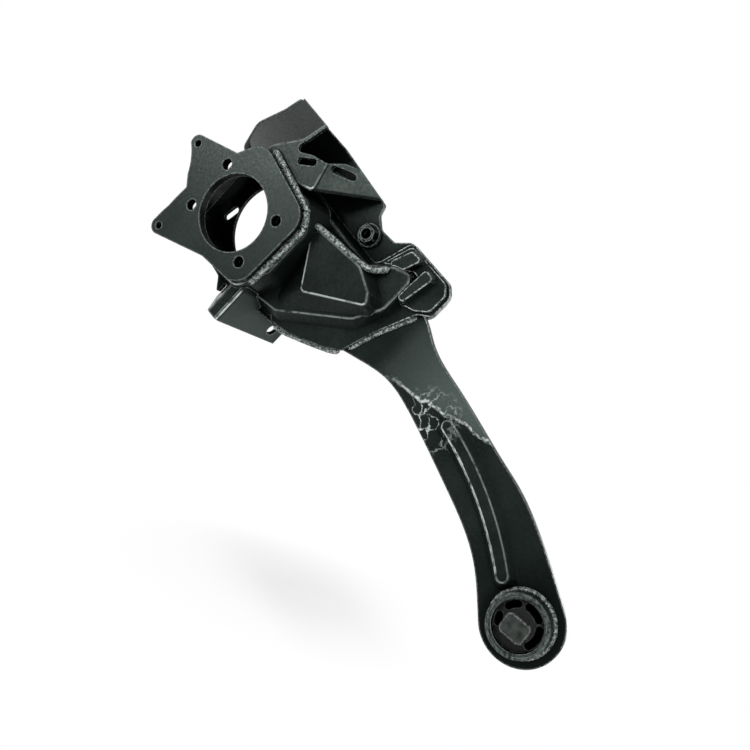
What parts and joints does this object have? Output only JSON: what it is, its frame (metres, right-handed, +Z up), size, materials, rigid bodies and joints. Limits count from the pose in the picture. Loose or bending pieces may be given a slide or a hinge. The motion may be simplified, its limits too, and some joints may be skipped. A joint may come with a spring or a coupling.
{
  "type": "rear knuckle arm",
  "caption": "Pressed and welded steel suspension knuckle with a hub plate, two link brackets, and a flat trailing arm that ends in a rubber bush eye.",
  "frame": {"origin": "hub centre, on the outboard face of the hub plate", "axes": "+X forward along the arm to the bush, +Y inboard along the hub axis, +Z up; a right-hand side part"},
  "size_m": [0.5682, 0.106, 0.2048],
  "materials": {
    "shell_paint": "semi-gloss black coat",
    "plate_paint": "semi-gloss black coat",
    "weld_paint": "black coat over rippled weld beads",
    "tube_paint": "semi-gloss black coat",
    "nut_paint": "black coat",
    "can_steel": "dark phosphate steel",
    "bush_rubber": "moulded matt",
    "core_metal": "sawn extrusion"
  },
  "bodies": {
    "root": {"arm_blade": "shell_paint", "blade_weld": "weld_paint", "bush_can": "can_steel", "bush_core": "core_metal", "bush_rubber": "bush_rubber", "eye_tube": "tube_paint", "eye_weld_inboard": "weld_paint", "eye_weld_outboard": "weld_paint", "front_rail": "shell_paint", "hub_plate": "plate_paint", "hub_plate_weld": "weld_paint", "inner_shell": "shell_paint", "lower_bracket": "shell_paint", "lower_link_nut": "nut_paint", "outer_shell": "shell_paint", "pocket_nut": "nut_paint", "shell_low_weld": "weld_paint", "shell_top_weld": "weld_paint", "upper_bracket": "shell_paint", "upper_cheek_front": "shell_paint", "upper_cheek_rear": "shell_paint", "upper_link_nut": "nut_paint"}
  },
  "joints": []
}
